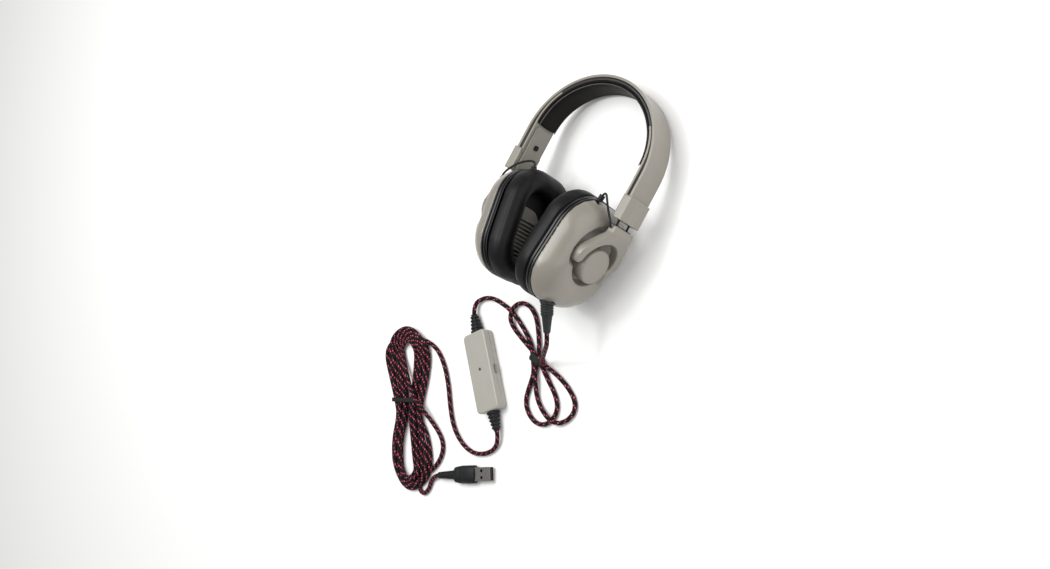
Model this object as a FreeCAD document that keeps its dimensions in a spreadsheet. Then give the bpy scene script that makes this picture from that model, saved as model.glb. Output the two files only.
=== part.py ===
import FreeCAD, Part
import math
import os

# Wired over-ear headset with an in-line controller and a USB plug, lying on its back edges on a table.
#
# Head frame: X across the head (+X is the corded left cup), -Y is the face side, Z up the band.
# Cup frame: origin on the tilt pivot, +X out of the ear, Z up the cup.
# Table frame: Z up, the headset lies with its face side up and the band towards +Y.

Vector = FreeCAD.Vector
Rotation = FreeCAD.Rotation
Placement = FreeCAD.Placement

SIZES = {
    # headband
    "bandRadius": 65.3,
    "bandCentre": 81.5,
    "bandWidth": 25.5,
    "stripThick": 2.1,
    "springThick": 0.6,
    "springWidth": 14.0,
    "leafThick": 1.6,
    "leafRadius": 52.5,
    "leafAngle": 37.0,
    "legEnd": 60.0,
    "padThick": 3.2,
    "padWidth": 24.0,
    "padEnd": 87.0,
    "coverThick": 1.4,
    "coverWidth": 19.0,
    "coverTop": 86.0,
    "coverScrewHeight": 69.0,
    "coverScrewSeat": 57.1,
    # sleeves and sliding rods
    "sleeveBottom": 43.5,
    "sleeveTop": 63.5,
    "sleeveWidth": 27.4,
    "sleeveInside": 58.6,
    "sleeveOutside": 68.5,
    "rodX": 61.75,
    "rodPitch": 14.6,
    "rodRadius": 0.9,
    "rodClear": 0.35,
    "rodTop": 84.0,
    # forks and pivots
    "pivotX": 50.0,
    "pivotHeight": 4.0,
    "forkTop": 38.3,
    "forkArch": 17.0,
    "pinRadius": 1.5,
    "pinClear": 0.05,
    "leftTilt": 6.0,
    "rightTilt": 12.0,
    "rightDrop": 3.0,
    # cups
    "cupCentre": 0.0,
    "jointX": -16.0,
    "shellHalfWidth": 37.5,
    "shellHalfHeight": 45.0,
    "cornerRadius": 30.0,
    "ringDepth": 6.0,
    "ringProud": 0.7,
    "plateDepth": 2.0,
    "cushionDepth": 18.0,
    "cushionClear": 0.3,
    "earHalfWidth": 21.0,
    "earHalfHeight": 30.0,
    "bossRadius": 14.0,
    "bossFace": 9.3,
    "dishFloor": -5.2,
    "dishRadius": 26.0,
    "dishHeight": 5.0,
    "driverRadius": 20.0,
    "grilleThick": 1.6,
    "slotPitch": 3.2,
    "slotHeight": 1.7,
    "slotLength": 34.0,
    # cord, plug, controller, USB plug
    "cordRadius": 1.75,
    "collarRadius": 5.3,
    "collarLength": 11.7,
    "reliefLength": 14.0,
    "controllerLength": 72.0,
    "controllerWidth": 26.0,
    "controllerHeight": 12.0,
    "controllerTurn": -47.5,
    "hankHeight": 7.4,
    "usbTurn": 29.5,
    # how the headset lies
    "restTilt": 11.765,
    "tableX": 0.0,
    "tableY": -52.292,
    "tableZ": 42.41,
}

doc = FreeCAD.newDocument("headset")
parts = []


def make_sheet():
    sheet = doc.addObject("Spreadsheet::Sheet", "Sizes")
    for row, (alias, value) in enumerate(SIZES.items(), 1):
        sheet.set(f"A{row}", alias)
        sheet.set(f"B{row}", str(value))
        sheet.setAlias(f"B{row}", alias)
    doc.recompute()
    return sheet


sizes = make_sheet()


def frame_of(base, axis=Vector(0, 0, 1), degrees=0.0):
    return Placement(base, Rotation(axis, degrees))


ABOUT_X = Vector(1, 0, 0)
ABOUT_Y = Vector(0, 1, 0)
ABOUT_Z = Vector(0, 0, 1)
table = frame_of(Vector(sizes.tableX, sizes.tableY, 0))
head = table * frame_of(Vector(0, 0, sizes.tableZ), ABOUT_X, -90 - sizes.restTilt)
half_turn = frame_of(Vector(), ABOUT_Z, 180)
pivot_at = Vector(sizes.pivotX, 0, sizes.pivotHeight)
left_cup = head * frame_of(pivot_at, ABOUT_Y, sizes.leftTilt)
right_leg = head * half_turn
right_slide = right_leg * frame_of(Vector(0, 0, -sizes.rightDrop))
right_cup = right_slide * frame_of(pivot_at, ABOUT_Y, sizes.rightTilt)
# for each side: the headband's leg, what slides in it, and the cup
SIDES = {"left": (head, head, left_cup), "right": (right_leg, right_slide, right_cup)}


# ---- helpers -------------------------------------------------------------------------------

def keep(obj, label, place):
    """Gives a finished sub-part its node name and its place."""
    obj.Label = label
    obj.Placement = place
    parts.append(obj)
    return obj


def new_body(name):
    return doc.addObject("PartDesign::Body", name)


def sketch_on(body, role, geometry, offset=None):
    """A sketch on an origin plane of its body, moved along the plane's normal by a formula."""
    sketch = body.newObject("Sketcher::SketchObject", body.Name + "_sketch")
    plane = next(item for item in body.Origin.OriginFeatures if item.Role == role)
    sketch.AttachmentSupport = [(plane, "")]
    sketch.MapMode = "FlatFace"
    sketch.addGeometry(geometry, False)
    if offset:
        sketch.setExpression("AttachmentOffset.Base.z", offset)
    return sketch


def extrude(body, kind, sketch, length, **options):
    """A Pad or Pocket whose length is a formula."""
    feature = body.newObject("PartDesign::" + kind, body.Name + "_" + kind.lower())
    feature.Profile = sketch
    feature.setExpression("Length", length)
    for name, value in options.items():
        setattr(feature, name, value)
    return feature


def loft(body, kind, sketches):
    feature = body.newObject("PartDesign::" + kind, body.Name + "_loft")
    feature.Profile = sketches[0]
    feature.Sections = sketches[1:]
    return feature


def polygon(points):
    corners = [Vector(x, y, 0) for x, y in points]
    return [Part.LineSegment(a, b) for a, b in zip(corners, corners[1:] + corners[:1])]


def circle(x, y, radius):
    return Part.Circle(Vector(x, y, 0), Vector(0, 0, 1), radius)


def rounded(half_width, half_height, radius, y=0.0):
    """A rounded rectangle centred on (0, y)."""
    a, b = half_width - radius, half_height - radius
    lines = [
        ((half_width, -b), (half_width, b)),
        ((a, half_height), (-a, half_height)),
        ((-half_width, b), (-half_width, -b)),
        ((-a, -half_height), (a, -half_height)),
    ]
    shapes = [Part.LineSegment(Vector(p[0], p[1] + y, 0), Vector(q[0], q[1] + y, 0)) for p, q in lines]
    for quarter, (cx, cy) in enumerate([(a, b), (-a, b), (-a, -b), (a, -b)]):
        arc = Part.Circle(Vector(cx, cy + y, 0), Vector(0, 0, 1), radius)
        shapes.append(Part.ArcOfCircle(arc, quarter * math.pi / 2, (quarter + 1) * math.pi / 2))
    return shapes


def cylinder(name, radius, height):
    shape = doc.addObject("Part::Cylinder", name)
    shape.setExpression("Radius", radius)
    shape.setExpression("Height", height)
    return shape


def cone(name, radius_1, radius_2, height):
    shape = doc.addObject("Part::Cone", name)
    shape.setExpression("Radius1", radius_1)
    shape.setExpression("Radius2", radius_2)
    shape.setExpression("Height", height)
    return shape


def box(name, length, width, height):
    shape = doc.addObject("Part::Box", name)
    shape.setExpression("Length", length)
    shape.setExpression("Width", width)
    shape.setExpression("Height", height)
    return shape


def cut(name, base, tool):
    shape = doc.addObject("Part::Cut", name)
    shape.Base = base
    shape.Tool = tool
    return shape


def join(name, shapes, kind="Part::MultiFuse"):
    shape = doc.addObject(kind, name)
    if kind == "Part::Compound":
        shape.Links = shapes
    else:
        shape.Shapes = shapes
    return shape


def fixed(name, shape):
    feature = doc.addObject("Part::Feature", name)
    feature.Shape = shape
    return feature


def all_edges_at(feature, axis, value):
    """Names of the edges that lie wholly in the plane axis = value."""
    found = []
    for number, edge in enumerate(feature.Shape.Edges, 1):
        low, high = getattr(edge.BoundBox, axis + "Min"), getattr(edge.BoundBox, axis + "Max")
        if abs(low - value) < 0.01 and abs(high - value) < 0.01:
            found.append(f"Edge{number}")
    return found


def fillet(body, base, edges, radius):
    feature = body.newObject("PartDesign::Fillet", body.Name + "_fillet")
    feature.Base = (base, edges)
    feature.setExpression("Radius", radius)
    doc.recompute()
    return feature


# ---- headband ------------------------------------------------------------------------------

lead_gap = 1.0  # room between strip and leaf at the top, for the spring and the lead
inner_radius = sizes.bandRadius - sizes.stripThick - lead_gap
fold = math.radians(sizes.leafAngle)
leaf_centre = (
    (inner_radius - sizes.leafRadius) * math.cos(fold),
    sizes.bandCentre + (inner_radius - sizes.leafRadius) * math.sin(fold),
)


def at_angle(centre, radius, angle):
    return centre[0] + radius * math.cos(angle), centre[1] + radius * math.sin(angle)


def leg_curve(offset, bottom):
    """The leaf's outer curve on one leg, moved inwards: where its arc starts and ends, and its foot."""
    radius = sizes.leafRadius - offset
    turn = at_angle(leaf_centre, radius, 0)
    return at_angle(leaf_centre, radius, fold), turn, (turn[0], bottom), radius


def arc_of(centre, radius, start, end):
    return Part.ArcOfCircle(Part.Circle(Vector(centre[0], centre[1], 0), Vector(0, 0, 1), radius), start, end)


def segment(a, b):
    return Part.LineSegment(Vector(a[0], a[1], 0), Vector(b[0], b[1], 0))


def flip(point):
    return -point[0], point[1]


def flipped_arc(centre, radius, start, end):
    return arc_of(flip(centre), radius, math.pi - end, math.pi - start)


def pad_across(name, geometry, width):
    """A band piece: its outline in the XZ plane, extruded evenly to both sides in Y."""
    body = new_body(name)
    sketch = sketch_on(body, "XZ_Plane", geometry, f"-({width}) / 2")
    extrude(body, "Pad", sketch, width)
    return body


def outer_strip():
    centre = (0.0, sizes.bandCentre)
    outer, inner = sizes.bandRadius, sizes.bandRadius - sizes.stripThick
    outline = [arc_of(centre, outer, 0, math.pi), arc_of(centre, inner, 0, math.pi)]
    for side in (1, -1):
        foot_out, foot_in = (side * outer, sizes.legEnd), (side * inner, sizes.legEnd)
        outline.append(segment((side * outer, sizes.bandCentre), foot_out))
        outline.append(segment(foot_out, foot_in))
        outline.append(segment(foot_in, (side * inner, sizes.bandCentre)))
    return keep(pad_across("band_outer_strip", outline, "Sizes.bandWidth"), "band_outer_strip", head)


def arch(name, outer, inner, start, width):
    centre = (0.0, sizes.bandCentre)
    outline = [arc_of(centre, outer, start, math.pi - start), arc_of(centre, inner, start, math.pi - start)]
    for mirror in (lambda p: p, flip):
        outline.append(segment(mirror(at_angle(centre, outer, start)), mirror(at_angle(centre, inner, start))))
    return keep(pad_across(name, outline, width), name, head)


def leg_leaf(side, place):
    top, turn, foot, radius = leg_curve(0, sizes.legEnd)
    top_in, turn_in, foot_in, radius_in = leg_curve(sizes.leafThick, sizes.legEnd)
    outline = [
        arc_of(leaf_centre, radius, 0, fold),
        segment(turn, foot),
        segment(foot, foot_in),
        segment(foot_in, turn_in),
        arc_of(leaf_centre, radius_in, 0, fold),
        segment(top_in, top),
    ]
    body = pad_across(f"{side}_leg_leaf", outline, "Sizes.bandWidth - 0.4")
    hole = sketch_on(body, "YZ_Plane", [circle(0, sizes.coverScrewHeight, 1.35)], "Sizes.coverScrewSeat")
    extrude(body, "Pocket", hole, "6", Reversed=True)
    return keep(body, f"{side}_leg_leaf", place)


def band_pad():
    gap = sizes.leafThick + 0.1
    ends = []
    radii = []
    for offset in (gap, gap + sizes.padThick):
        radius = sizes.leafRadius - offset
        angle = math.asin((sizes.padEnd - leaf_centre[1]) / radius)
        radii.append((inner_radius - offset, radius, angle))
        ends.append(at_angle(leaf_centre, radius, angle))
    centre = (0.0, sizes.bandCentre)
    outline = []
    for crown, radius, angle in radii:
        outline.append(arc_of(centre, crown, fold, math.pi - fold))
        outline.append(arc_of(leaf_centre, radius, angle, fold))
        outline.append(flipped_arc(leaf_centre, radius, angle, fold))
    outline.append(segment(ends[0], ends[1]))
    outline.append(segment(flip(ends[0]), flip(ends[1])))
    return keep(pad_across("headband_pad", outline, "Sizes.padWidth"), "headband_pad", head)


def leg_cover(side, place):
    """The plate that closes the sleeve and leaf on the inner side of a leg, held by one screw."""
    low, top, half = sizes.sleeveBottom + 0.5, sizes.coverTop, sizes.coverWidth / 2
    plate = [
        segment((-half, low), (half, low)),
        segment((half, low), (half, top - 3)),
        arc_of((half - 3, top - 3), 3, 0, math.pi / 2),
        segment((half - 3, top), (3 - half, top)),
        arc_of((3 - half, top - 3), 3, math.pi / 2, math.pi),
        segment((-half, top - 3), (-half, low)),
    ]
    body = new_body(f"{side}_leg_cover")
    sketch = sketch_on(body, "YZ_Plane", plate, "Sizes.sleeveInside - Sizes.coverThick - 0.05")
    extrude(body, "Pad", sketch, "Sizes.coverThick")
    hole = sketch_on(body, "YZ_Plane", [circle(0, sizes.coverScrewHeight, 1.4)], "Sizes.sleeveInside - 4")
    extrude(body, "Pocket", hole, "6", Reversed=True)
    return keep(body, f"{side}_leg_cover", place)


def cover_screw(side, place):
    """A pan-head screw through the cover and the leaf."""
    body = new_body(f"{side}_cover_screw")
    head_plane = sketch_on(body, "YZ_Plane", [circle(0, sizes.coverScrewHeight, 2.3)],
                           "Sizes.coverScrewSeat - 1.1")
    extrude(body, "Pad", head_plane, "1.1")
    shank = sketch_on(body, "YZ_Plane", [circle(0, sizes.coverScrewHeight, 1.25)],
                      "Sizes.coverScrewSeat - 0.6")
    extrude(body, "Pad", shank, "6")
    return keep(body, f"{side}_cover_screw", place)


def sleeve(side, place):
    """The end block of a leg: open on its inner side above, with two bores for the rods."""
    inside, outside = sizes.sleeveInside, sizes.sleeveOutside
    half = sizes.sleeveWidth / 2
    body = new_body(f"{side}_sleeve")
    facet, rounding = 7.0, 1.6
    block = polygon([
        (inside, -half), (outside - rounding, -half), (outside, -half + facet),
        (outside, half - facet), (outside - rounding, half), (inside, half),
    ])
    sketch = sketch_on(body, "XY_Plane", block, "Sizes.sleeveBottom")
    extrude(body, "Pad", sketch, "Sizes.sleeveTop - Sizes.sleeveBottom")
    socket = polygon([
        (inside - 1, -half + 0.9), (sizes.bandRadius + 0.1, -half + 0.9),
        (sizes.bandRadius + 0.1, half - 0.9), (inside - 1, half - 0.9),
    ])
    sketch = sketch_on(body, "XY_Plane", socket, "Sizes.legEnd - 0.1")
    extrude(body, "Pocket", sketch, "10", Reversed=True)
    bores = [circle(sizes.rodX, y * sizes.rodPitch / 2, sizes.rodRadius + sizes.rodClear) for y in (1, -1)]
    sketch = sketch_on(body, "XY_Plane", bores, "Sizes.sleeveBottom - 1")
    extrude(body, "Pocket", sketch, "25", Reversed=True)
    return keep(body, f"{side}_sleeve", place)


def band_lead():
    """The wire that carries sound from the corded cup to the other one, inside the band."""
    y, radius = 9.6, 0.4
    offset = -0.5
    centre = (0.0, sizes.bandCentre)
    top, turn, foot, lower = leg_curve(offset, 63.0)
    crown = inner_radius - offset
    geometry = [
        segment(foot, turn),
        arc_of(leaf_centre, lower, 0, fold),
        arc_of(centre, crown, fold, math.pi - fold),
        flipped_arc(leaf_centre, lower, 0, fold),
        segment(flip(turn), flip(foot)),
    ]
    stand = Placement(Vector(0, y, 0), Rotation(ABOUT_X, 90))
    edges = []
    for piece in geometry:
        edge = piece.toShape()
        edge.Placement = stand
        edges.append(edge)
    path = Part.Wire(Part.__sortEdges__(edges))
    ring = Part.Wire(Part.makeCircle(radius, Vector(foot[0], y, foot[1]), ABOUT_Z))
    return keep(fixed("band_lead", path.makePipeShell([ring], True, False)), "band_lead", head)


# ---- forks ---------------------------------------------------------------------------------

def fork(side, place):
    """The yoke: a neck that takes the rods, and two horns that hold the cup's pivot pins."""
    body = new_body(f"{side}_fork")
    low, neck = sizes.pivotHeight, sizes.forkTop
    profile = [
        segment((66.6, neck), (66.6, neck - 6)),
        Part.Arc(Vector(66.6, neck - 6, 0), Vector(62.2, low + 16, 0), Vector(54.6, low - 5, 0)),
        segment((54.6, low - 5), (46.8, low - 5)),
        Part.Arc(Vector(46.8, low - 5, 0), Vector(53.2, low + 14, 0), Vector(59.6, neck - 8, 0)),
        segment((59.6, neck - 8), (59.6, neck)),
        segment((59.6, neck), (66.6, neck)),
    ]
    sketch = sketch_on(body, "XZ_Plane", profile, "-27")
    extrude(body, "Pad", sketch, "54")
    # what is left after this cut is the fork's front view
    front = [
        segment((-12.8, neck + 1), (12.8, neck + 1)),
        segment((12.8, neck + 1), (12.8, neck - 6)),
        Part.Arc(Vector(12.8, neck - 6, 0), Vector(17.4, low + 20.5, 0), Vector(22.5, low + 12, 0)),
        Part.Arc(Vector(22.5, low + 12, 0), Vector(24.6, low + 4, 0), Vector(23.6, low - 0.5, 0)),
        Part.Arc(Vector(23.6, low - 0.5, 0), Vector(19.8, low - 3.9, 0), Vector(16.2, low - 0.5, 0)),
        segment((16.2, low - 0.5), (17.0, low + 3)),
        Part.Arc(Vector(17.0, low + 3, 0), Vector(0, low + 3 + sizes.forkArch, 0), Vector(-17.0, low + 3, 0)),
        segment((-17.0, low + 3), (-16.2, low - 0.5)),
        Part.Arc(Vector(-16.2, low - 0.5, 0), Vector(-19.8, low - 3.9, 0), Vector(-23.6, low - 0.5, 0)),
        Part.Arc(Vector(-23.6, low - 0.5, 0), Vector(-24.6, low + 4, 0), Vector(-22.5, low + 12, 0)),
        Part.Arc(Vector(-22.5, low + 12, 0), Vector(-17.4, low + 20.5, 0), Vector(-12.8, neck - 6, 0)),
        segment((-12.8, neck - 6), (-12.8, neck + 1)),
    ]
    border = polygon([(-40, -20), (40, -20), (40, 50), (-40, 50)])
    sketch = sketch_on(body, "YZ_Plane", border + front, "30")
    extrude(body, "Pocket", sketch, "60", Reversed=True)
    rods = [circle(sizes.rodX, y * sizes.rodPitch / 2, sizes.rodRadius + 0.05) for y in (1, -1)]
    sketch = sketch_on(body, "XY_Plane", rods, "Sizes.forkTop - 8")
    extrude(body, "Pocket", sketch, "10", Reversed=True)
    pin = [circle(sizes.pivotX, low, sizes.pinRadius)]
    extrude(body, "Pad", sketch_on(body, "XZ_Plane", pin, "11"), "8")
    extrude(body, "Pad", sketch_on(body, "XZ_Plane", pin, "-19"), "8")
    return keep(body, f"{side}_fork", place)


def slide_rods(side, place):
    """Two steel rods on a thin foot plate: the rods slide in the sleeve's bores."""
    body = new_body(f"{side}_slide_rods")
    half, x = sizes.rodPitch / 2, sizes.rodX
    foot = polygon([(x - 2, -half - 3), (x + 2, -half - 3), (x + 2, half + 3), (x - 2, half + 3)])
    sketch = sketch_on(body, "XY_Plane", foot, "Sizes.forkTop")
    extrude(body, "Pad", sketch, "0.8")
    rods = [circle(x, y * half, sizes.rodRadius) for y in (1, -1)]
    sketch = sketch_on(body, "XY_Plane", rods, "Sizes.forkTop - 7.5")
    extrude(body, "Pad", sketch, "Sizes.rodTop - Sizes.forkTop + 7.5")
    return keep(body, f"{side}_slide_rods", place)


# ---- cups ----------------------------------------------------------------------------------

def cup_outline(half_width, half_height, radius, shift=0.0):
    return rounded(half_width, half_height, radius, sizes.cupCentre + shift)


def cup_shell(side, place):
    """A domed shell, hollow from the ear side, with a round dish that the fork's horns swing in."""
    wide, high, corner = sizes.shellHalfWidth, sizes.shellHalfHeight, sizes.cornerRadius
    body = new_body(f"{side}_shell_form")
    sections = [
        sketch_on(body, "YZ_Plane", cup_outline(wide, high, corner), "Sizes.jointX"),
        sketch_on(body, "YZ_Plane", cup_outline(wide - 2.5, high - 3.2, corner - 2, 0.2), "-7"),
        sketch_on(body, "YZ_Plane", cup_outline(wide - 7, high - 9, corner - 5, 0.6), "-1"),
        sketch_on(body, "YZ_Plane", cup_outline(wide - 14, high - 18, corner - 10, 1), "2.5"),
    ]
    loft(body, "AdditiveLoft", sections)
    doc.recompute()
    hollow = [
        sketch_on(body, "YZ_Plane", cup_outline(wide - 2.2, high - 2.2, corner - 2.2), "Sizes.jointX"),
        sketch_on(body, "YZ_Plane", cup_outline(wide - 6.5, high - 7.5, corner - 4), "-8.5"),
    ]
    loft(body, "SubtractiveLoft", hollow)
    doc.recompute()
    floor, rim = sizes.dishFloor, sizes.dishRadius
    dish = [
        segment((floor, 0), (floor, rim - 6)),
        Part.Arc(Vector(floor, rim - 6, 0), Vector(-3.4, rim - 2.4, 0), Vector(4, rim + 1.5, 0)),
        segment((4, rim + 1.5), (4, 0)),
        segment((4, 0), (floor, 0)),
    ]
    sketch = sketch_on(body, "XY_Plane", dish, "Sizes.dishHeight")
    groove = body.newObject("PartDesign::Groove", body.Name + "_dish")
    groove.Profile = sketch
    groove.ReferenceAxis = (sketch, ["H_Axis"])
    groove.Angle = 360
    doc.recompute()
    posts = [circle(y, z, 3) for y, z in POSTS]
    sketch = sketch_on(body, "YZ_Plane", posts, "Sizes.jointX + 0.1")
    extrude(body, "Pad", sketch, "8")
    holes = [circle(y, z, 1.05) for y, z in POSTS]
    sketch = sketch_on(body, "YZ_Plane", holes, "Sizes.jointX - 1")
    extrude(body, "Pocket", sketch, "7", Reversed=True)
    tab_slot = polygon([(-17, -16.8), (-10.6, -16.8), (-10.6, -11.2), (-17, -11.2)])
    sketch = sketch_on(body, "XY_Plane", tab_slot, "36")
    extrude(body, "Pocket", sketch, "12", Reversed=True)
    if side == "right":
        return keep(body, "right_shell", place)
    return keep(bored(body, "left_shell_cut"), "left_shell", place)


def bored(base, name):
    """A piece of the left cup with the round opening that the plug's socket sits in."""
    bore = cylinder(name + "_bore", "Sizes.collarRadius + 0.95", "16")
    bore.Placement = left_cup.inverse() * plug_frame(-9)
    return cut(name, base, bore)


GROMMET_X, GROMMET_BASE = -19.0, 44.5
POSTS = [(20.0, 29.0), (-20.0, 29.0), (20.0, -29.0), (-20.0, -29.0)]


def boss_cap(side, place):
    """The round cap in the dish; the pivot pins turn in its two side holes."""
    body = new_body(f"{side}_boss_cap")
    sketch = sketch_on(body, "YZ_Plane", [circle(0, 0, sizes.bossRadius)], "Sizes.dishFloor")
    solid = extrude(body, "Pad", sketch, "Sizes.bossFace - Sizes.dishFloor")
    doc.recompute()
    fillet(body, solid, all_edges_at(solid, "X", sizes.bossFace), "2.2")
    sketch = sketch_on(body, "XZ_Plane", [circle(0, 0, sizes.pinRadius + sizes.pinClear)], "-20")
    extrude(body, "Pocket", sketch, "9.2", Reversed=True)
    sketch = sketch_on(body, "XZ_Plane", [circle(0, 0, sizes.pinRadius + sizes.pinClear)], "20")
    extrude(body, "Pocket", sketch, "9.2")
    return keep(body, f"{side}_boss_cap", place)


def baffle_ring(side, place):
    """The black ring between shell and cushion, with the plate that carries the driver."""
    proud = sizes.ringProud
    wide, high = sizes.shellHalfWidth + proud, sizes.shellHalfHeight + proud
    body = new_body(f"{side}_ring_form")
    sketch = sketch_on(body, "YZ_Plane", cup_outline(wide, high, sizes.cornerRadius + proud),
                       "Sizes.jointX - Sizes.ringDepth")
    extrude(body, "Pad", sketch, "Sizes.ringDepth")
    sketch = sketch_on(body, "YZ_Plane", cup_outline(wide - 8, high - 8, 22), "Sizes.jointX - Sizes.ringDepth")
    extrude(body, "Pocket", sketch, "Sizes.ringDepth - Sizes.plateDepth", Reversed=True)
    holes = [circle(0, sizes.cupCentre, sizes.driverRadius - 1.5)]
    holes += [circle(y, z, 1.3) for y, z in POSTS]
    sketch = sketch_on(body, "YZ_Plane", holes, "Sizes.jointX - Sizes.ringDepth - 1")
    extrude(body, "Pocket", sketch, "Sizes.ringDepth + 2", Reversed=True)
    tab = polygon([(-16.5, -16.5), (-10.9, -16.5), (-10.9, -11.5), (-16.5, -11.5)])
    sketch = sketch_on(body, "XY_Plane", tab, "36.4")
    extrude(body, "Pad", sketch, "6.4")
    y = math.copysign(7.6, LOOPS[side][0][1])
    sketch = sketch_on(body, "XY_Plane", [circle(GROMMET_X, y, 2.45)], f"{GROMMET_BASE - 0.1}")
    extrude(body, "Pocket", sketch, "4", Reversed=True)
    if side == "right":
        return keep(body, "right_baffle_ring", place)
    return keep(bored(body, "left_ring_cut"), "left_baffle_ring", place)


def grille(side, place):
    body = new_body(f"{side}_grille")
    wide, high = sizes.shellHalfWidth - 7.6, sizes.shellHalfHeight - 7.6
    sketch = sketch_on(body, "YZ_Plane", cup_outline(wide, high, 21.5), "Sizes.jointX - Sizes.ringDepth + 0.3")
    extrude(body, "Pad", sketch, "Sizes.grilleThick")
    half, tall = sizes.slotLength / 2, sizes.slotHeight / 2
    slots = []
    for step in range(10):
        z = -24.0 + step * sizes.slotPitch
        slots += polygon([(-half, z - tall), (half, z - tall), (half, z + tall), (-half, z + tall)])
    sketch = sketch_on(body, "YZ_Plane", slots, "Sizes.jointX - Sizes.ringDepth - 1")
    extrude(body, "Pocket", sketch, "4", Reversed=True)
    return keep(body, f"{side}_grille", place)


def cushion(side, place):
    """The ear cushion: a plain padded ring."""
    body = new_body(f"{side}_cushion")
    start = "Sizes.jointX - Sizes.ringDepth - Sizes.cushionDepth"
    sketch = sketch_on(body, "YZ_Plane", cup_outline(37.6, 46.6, 29.8), start)
    solid = extrude(body, "Pad", sketch, "Sizes.cushionDepth - Sizes.cushionClear")
    doc.recompute()
    face = sizes.jointX - sizes.ringDepth - sizes.cushionDepth
    solid = fillet(body, solid, all_edges_at(solid, "X", face), "6")
    wide, high = sizes.earHalfWidth, sizes.earHalfHeight
    sketch = sketch_on(body, "YZ_Plane", cup_outline(wide, high, wide - 2), start + " - 1")
    extrude(body, "Pocket", sketch, "Sizes.cushionDepth + 2", Reversed=True)
    return keep(body, f"{side}_cushion", place)


def revolved(name, outline, place):
    """A round part about the driver's axis; the outline is (x, radius) points."""
    body = new_body(name)
    sketch = sketch_on(body, "XY_Plane", polygon(outline), "Sizes.cupCentre")
    turned = body.newObject("PartDesign::Revolution", body.Name + "_turn")
    turned.Profile = sketch
    turned.ReferenceAxis = (sketch, ["H_Axis"])
    turned.Angle = 360
    return keep(body, name, place)


def driver(side, place):
    """A dynamic driver on the baffle plate: frame, magnet and diaphragm."""
    plate = sizes.jointX - sizes.plateDepth
    rim = sizes.driverRadius - 1.8
    revolved(f"{side}_driver_frame", [
        (plate - 0.9, 13.0), (plate - 0.9, sizes.driverRadius), (plate, sizes.driverRadius), (plate, rim),
        (-12.0, 13.0), (-9.3, 12.0), (-9.3, 0), (-10.1, 0), (-10.1, 11.2), (-12.4, 12.0), (plate + 0.3, 16.6),
        (plate + 0.3, 13.0),
    ], place)
    revolved(f"{side}_driver_magnet", [(-10.2, 0), (-10.2, 9.0), (-15.2, 9.0), (-15.2, 0)], place)
    revolved(f"{side}_diaphragm", [(plate - 1.0, 0), (plate - 1.0, 18.5), (plate - 1.3, 18.5), (plate - 1.3, 0)],
             place)


def shell_screws(side, place):
    """The four screws that hold the baffle to the shell's posts."""
    screws = []
    for number, (y, z) in enumerate(POSTS):
        shank = cylinder(f"{side}_shank_{number}", "1.0", "6")
        shank.Placement = frame_of(Vector(sizes.jointX - sizes.plateDepth - 0.5, y, z), ABOUT_Y, 90)
        top = cylinder(f"{side}_screw_head_{number}", "2.0", "1.1")
        top.Placement = frame_of(Vector(sizes.jointX - sizes.plateDepth - 1.1, y, z), ABOUT_Y, 90)
        screws.append(join(f"{side}_screw_{number}", [shank, top]))
    return keep(join(f"{side}_screw_set", screws, "Part::Compound"), f"{side}_shell_screws", place)


# ---- cords ---------------------------------------------------------------------------------

def cord_route(points):
    """Straight runs joined by tangent arcs, each arc as large as its two runs allow."""
    corners = [Vector(*point) for point in points]
    runs = [(b - a).Length for a, b in zip(corners, corners[1:])]
    start, edges, radii = corners[0], [], []
    for index in range(1, len(corners) - 1):
        corner = corners[index]
        back = (corners[index - 1] - corner).normalize()
        ahead = (corners[index + 1] - corner).normalize()
        half = (math.pi - back.getAngle(ahead)) / 2
        reach = 0.45 * min(runs[index - 1], runs[index])
        radius = reach / math.tan(half)
        middle = corner + (back + ahead).normalize() * (radius / math.cos(half) - radius)
        first, last = corner + back * reach, corner + ahead * reach
        edges.append(Part.LineSegment(start, first).toShape())
        edges.append(Part.Arc(first, middle, last).toShape())
        start = last
        radii.append(round(radius, 1))
    edges.append(Part.LineSegment(start, corners[-1]).toShape())
    return Part.Wire(edges), radii


def tube(name, points, radius):
    path, radii = cord_route(points)
    heading = Vector(*points[1]) - Vector(*points[0])
    ring = Part.Wire(Part.makeCircle(radius, Vector(*points[0]), heading))
    solid = path.makePipeShell([ring], True, False)
    share = solid.Volume / (math.pi * radius ** 2 * path.Length)
    print(f"{name}: length {path.Length:.0f} mm, volume share {share:.4f}, radii {radii}")
    return solid


def plug_frame(along):
    """A frame on the cord plug's axis, Z pointing out of the cup, in the row's frame."""
    heading = Vector(*PLUG_HEADING).normalize()
    start = Vector(*PLUG_START) + heading * along
    return table * Placement(start, Rotation(Vector(0, 0, 1), heading))


PLUG_START = (33.1, -36.1, 53.0)
PLUG_HEADING = (0.32, -0.934, -0.157)

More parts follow.
